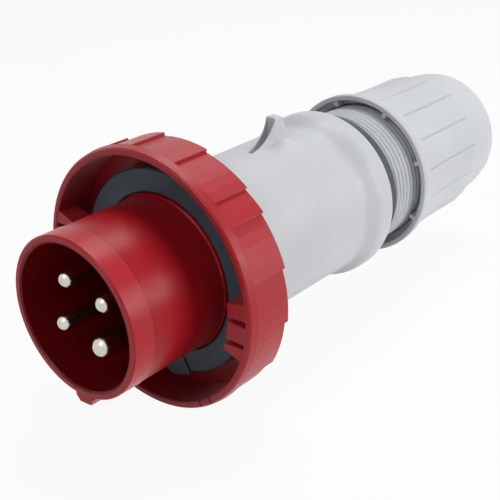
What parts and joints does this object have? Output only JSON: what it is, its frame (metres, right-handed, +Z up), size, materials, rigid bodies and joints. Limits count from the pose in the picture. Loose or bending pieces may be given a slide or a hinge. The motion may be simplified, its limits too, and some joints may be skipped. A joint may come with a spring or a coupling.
{
  "type": "industrial pin and sleeve plug",
  "caption": "Watertight industrial plug: round sleeve with key and contact pins, bayonet locking ring, cylindrical housing with slotted lug and collar, long grooved cable-gland nut.",
  "frame": {"origin": "centre of the sleeve's front rim, on the plug's axis", "axes": "+X along the plug from the contact pins to the cord entry, +Z up with the key rib of the sleeve straight down, +Y to the far side"},
  "size_m": [0.231, 0.0958, 0.0958],
  "materials": {
    "red_plastic": "satin moulded red polyamide",
    "dark_red_plastic": "satin moulded dark red polyamide",
    "plated_brass": "nickel-plated brass",
    "screw_steel": "zinc-plated steel",
    "pale_plastic": "natural polyamide",
    "rubber": "soft sealing rubber",
    "grey_rubber": "soft sealing rubber, mid grey",
    "grey_plastic": "satin moulded grey polyamide",
    "black_plastic": "moulded black polyamide"
  },
  "bodies": {
    "plug_body": {"shroud": "red_plastic", "contact_carrier": "dark_red_plastic", "pin_l1": "plated_brass", "pin_l2": "plated_brass", "pin_l3": "plated_brass", "pin_earth": "plated_brass", "carrier_screws": "screw_steel", "retainer_plate": "pale_plastic", "retainer_screws": "screw_steel", "terminal_screws": "screw_steel", "wire_plates": "screw_steel", "shroud_seal": "rubber", "front_gasket": "rubber", "housing": "grey_plastic", "neck_seal": "grey_rubber", "cable_seal_outer": "rubber", "cable_seal_inner": "rubber"},
    "ring": {"locking_ring": "red_plastic"},
    "gland_slider": {"thrust_ring": "pale_plastic", "clamp_claw": "black_plastic"},
    "nut": {"gland_nut": "grey_plastic"}
  },
  "joints": [
    {"name": "ring_turn", "type": "hinge", "parent": "plug_body", "child": "ring", "pos_m": [0.0491, 0, 0], "axis": [1, 0, 0], "range_deg": [-40, 0]},
    {"name": "gland_slide", "type": "slide", "parent": "plug_body", "child": "gland_slider", "axis": [1, 0, 0], "range_m": [-0.0101, 0.0001], "deforming": ["cable_seal_outer", "cable_seal_inner"]},
    {"name": "gland_nut_turn", "type": "hinge", "parent": "gland_slider", "child": "nut", "pos_m": [0.1875, 0, 0], "axis": [1, 0, 0], "range_deg": [-1440, 0]}
  ],
  "couplings": [
    {"joint": "gland_slide", "follows": "gland_nut_turn", "m_per_rad": 0.00039789}
  ]
}
